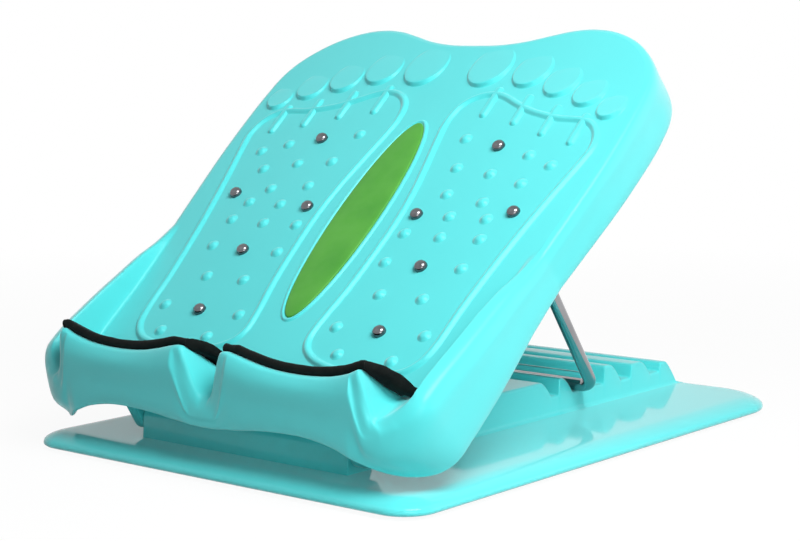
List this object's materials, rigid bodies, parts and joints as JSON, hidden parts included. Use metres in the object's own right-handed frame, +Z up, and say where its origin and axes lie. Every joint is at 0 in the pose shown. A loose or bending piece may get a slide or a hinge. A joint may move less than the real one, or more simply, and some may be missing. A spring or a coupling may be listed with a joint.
{
  "type": "slant board",
  "caption": "Tilting foot board with heel stops, raised foot outlines and studs, hinged to a flat base and held up by a wire bail that stands in a notched rack.",
  "frame": {"origin": "on the floor under the middle of the part", "axes": "+X across the board, +Y from the heel end to the tail of the rack, +Z up"},
  "size_m": [0.2962, 0.3992, 0.2461],
  "materials": {
    "aqua_plastic": "glossy moulded aqua plastic",
    "green_inlay": "satin green plastic",
    "pad_foam": "matt black foam rubber",
    "chrome_stud": "polished chrome",
    "chrome_rod": "bright chromed steel rod",
    "zinc_steel": "plain zinc-plated steel",
    "foot_rubber": "matt dark rubber"
  },
  "bodies": {
    "base": {"base_plate": "aqua_plastic", "hinge_rod": "zinc_steel", "hinge_clip_left": "zinc_steel", "hinge_clip_right": "zinc_steel", "rubber_foot_front_left": "foot_rubber", "rubber_foot_front_right": "foot_rubber", "rubber_foot_rear_left": "foot_rubber", "rubber_foot_rear_right": "foot_rubber"},
    "board": {"foot_board": "aqua_plastic", "centre_inlay": "green_inlay", "heel_pad_left": "pad_foam", "heel_pad_right": "pad_foam", "magnet_stud_left_1": "chrome_stud", "magnet_stud_left_2": "chrome_stud", "magnet_stud_left_3": "chrome_stud", "magnet_stud_left_4": "chrome_stud", "magnet_stud_left_5": "chrome_stud", "magnet_stud_right_1": "chrome_stud", "magnet_stud_right_2": "chrome_stud", "magnet_stud_right_3": "chrome_stud", "magnet_stud_right_4": "chrome_stud", "magnet_stud_right_5": "chrome_stud", "bail_clamp_left": "zinc_steel", "bail_clamp_right": "zinc_steel", "clamp_screw_left_low": "zinc_steel", "clamp_screw_left_high": "zinc_steel", "clamp_screw_right_low": "zinc_steel", "clamp_screw_right_high": "zinc_steel"},
    "bail": {"support_bail": "chrome_rod"}
  },
  "joints": [
    {"name": "board_tilt", "type": "hinge", "parent": "base", "child": "board", "pos_m": [0, -0.157, 0.022], "axis": [1, 0, 0], "range_deg": [0, 18]},
    {"name": "bail_swing", "type": "hinge", "parent": "board", "child": "bail", "pos_m": [0, -0.02748, 0.14926], "axis": [1, 0, 0], "range_deg": [0, 84]}
  ]
}
